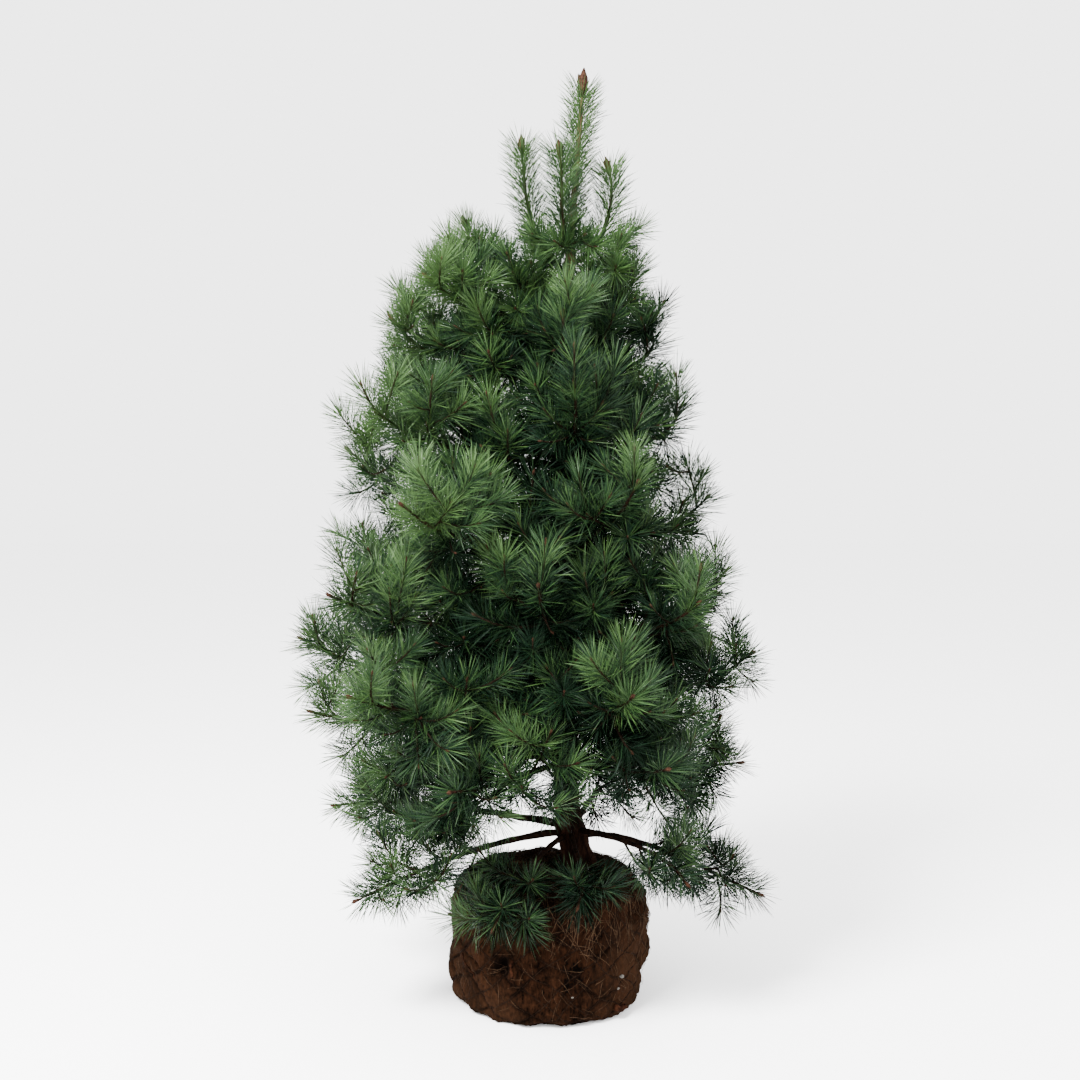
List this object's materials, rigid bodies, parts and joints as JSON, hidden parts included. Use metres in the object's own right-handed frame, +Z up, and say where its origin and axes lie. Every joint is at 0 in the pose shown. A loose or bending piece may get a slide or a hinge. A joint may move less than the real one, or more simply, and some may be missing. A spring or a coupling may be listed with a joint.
{
  "type": "pine sapling with root ball",
  "caption": "Young pine tree with a pointed crown of long needles, full almost to the ground, standing on its round hessian-wrapped root ball.",
  "frame": {"origin": "middle of the root ball's flat underside, where the tree stands on level ground", "axes": "+Z up the tree, +X to the right of its front view, -Y towards the viewer of its front view"},
  "size_m": [1.1486, 0.9281, 2.15],
  "materials": {
    "bark": "rough",
    "needles": "matte",
    "root_ball": "rough"
  },
  "bodies": {
    "root": {"bough_low_1": "bark", "bough_low_2": "bark", "bough_low_3": "bark", "bough_low_4": "bark", "bough_low_5": "bark", "bough_low_6": "bark", "bough_low_7": "bark", "bough_second_1": "bark", "bough_second_2": "bark", "bough_second_3": "bark", "bough_second_4": "bark", "bough_second_5": "bark", "needles_fifth_1": "needles", "needles_fifth_2": "needles", "needles_fifth_3": "needles", "needles_fifth_4": "needles", "needles_fifth_5": "needles", "needles_fourth_1": "needles", "needles_fourth_2": "needles", "needles_fourth_3": "needles", "needles_fourth_4": "needles", "needles_fourth_5": "needles", "needles_fourth_6": "needles", "needles_leader": "needles", "needles_low_1": "needles", "needles_low_2": "needles", "needles_low_3": "needles", "needles_low_4": "needles", "needles_low_5": "needles", "needles_low_6": "needles", "needles_low_7": "needles", "needles_second_1": "needles", "needles_second_2": "needles", "needles_second_3": "needles", "needles_second_4": "needles", "needles_second_5": "needles", "needles_seventh_1": "needles", "needles_seventh_2": "needles", "needles_seventh_3": "needles", "needles_seventh_4": "needles", "needles_sixth_1": "needles", "needles_sixth_2": "needles", "needles_sixth_3": "needles", "needles_sixth_4": "needles", "needles_sixth_5": "needles", "needles_third_1": "needles", "needles_third_2": "needles", "needles_third_3": "needles", "needles_third_4": "needles", "needles_third_5": "needles", "needles_third_6": "needles", "needles_top_1": "needles", "needles_top_2": "needles", "needles_top_3": "needles", "needles_top_4": "needles", "needles_top_5": "needles", "needles_top_6": "needles", "root_ball": "root_ball", "trunk": "bark"}
  },
  "joints": []
}
